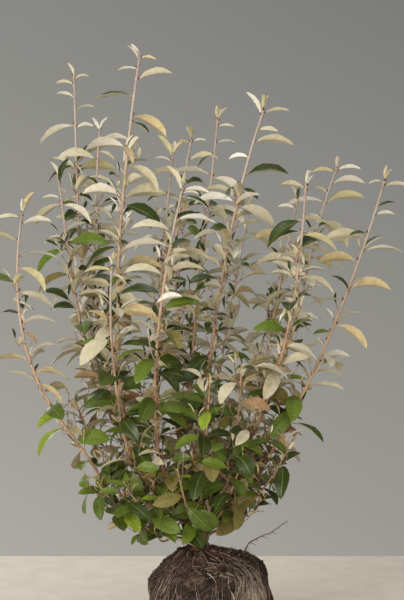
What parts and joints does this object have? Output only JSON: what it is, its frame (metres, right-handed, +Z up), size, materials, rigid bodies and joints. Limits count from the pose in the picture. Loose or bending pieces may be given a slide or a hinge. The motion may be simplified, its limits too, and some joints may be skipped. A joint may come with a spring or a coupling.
{
  "type": "elaeagnus shrub with root ball",
  "caption": "Young upright evergreen shrub lifted with its soil ball: slender leafy canes, pale under and green above, rise from a short forked trunk over a skirt of low shoots.",
  "frame": {"origin": "middle of the root ball's flat underside, level with the ground it stands on", "axes": "+Z up through the height of the plant, +X to the right and +Y to the back as the picture shows it"},
  "size_m": [0.7583, 0.4771, 1.0544],
  "materials": {
    "matted_soil": "matt dark soil bound in a mat of fine brown and grey roots",
    "root_wood": "thin dry brown root",
    "old_bark": "grey-pink to brown bark with fine ridges and leaf scars",
    "silver_leaf": "leathery leaves, scaly silver-cream underneath and satin green above, on orange-tan canes",
    "green_leaf": "leathery dark green leaves with a soft gloss above and a pale scaly underside"
  },
  "bodies": {
    "root": {"root_ball": "matted_soil", "stray_root": "root_wood", "trunk": "old_bark", "bough_far_left": "old_bark", "bough_left": "old_bark", "bough_left_back": "old_bark", "bough_front": "old_bark", "bough_back": "old_bark", "bough_middle": "old_bark", "bough_right": "old_bark", "bough_far_right": "old_bark", "cane_outer_left": "silver_leaf", "cane_left": "silver_leaf", "cane_left_tall": "silver_leaf", "cane_left_rear": "silver_leaf", "cane_tallest": "silver_leaf", "cane_left_short": "silver_leaf", "cane_front": "silver_leaf", "cane_centre_left": "silver_leaf", "cane_rear_left": "silver_leaf", "cane_centre": "silver_leaf", "cane_right_tall": "silver_leaf", "cane_rear_right": "silver_leaf", "cane_right_front": "silver_leaf", "cane_right_low": "silver_leaf", "cane_right_rear": "silver_leaf", "cane_outer_right": "silver_leaf", "shoot_front_low": "green_leaf", "shoot_front_left_low": "green_leaf", "shoot_front_right_low": "green_leaf", "shoot_front_high": "green_leaf", "shoot_left_low": "green_leaf", "shoot_left_high": "green_leaf", "shoot_right_low": "green_leaf", "shoot_right_high": "green_leaf", "shoot_right_mid": "green_leaf", "shoot_rear_left_low": "green_leaf", "shoot_rear_left_high": "green_leaf", "shoot_rear_low": "green_leaf", "shoot_rear_right_low": "green_leaf", "shoot_rear_right_high": "green_leaf"}
  },
  "joints": []
}
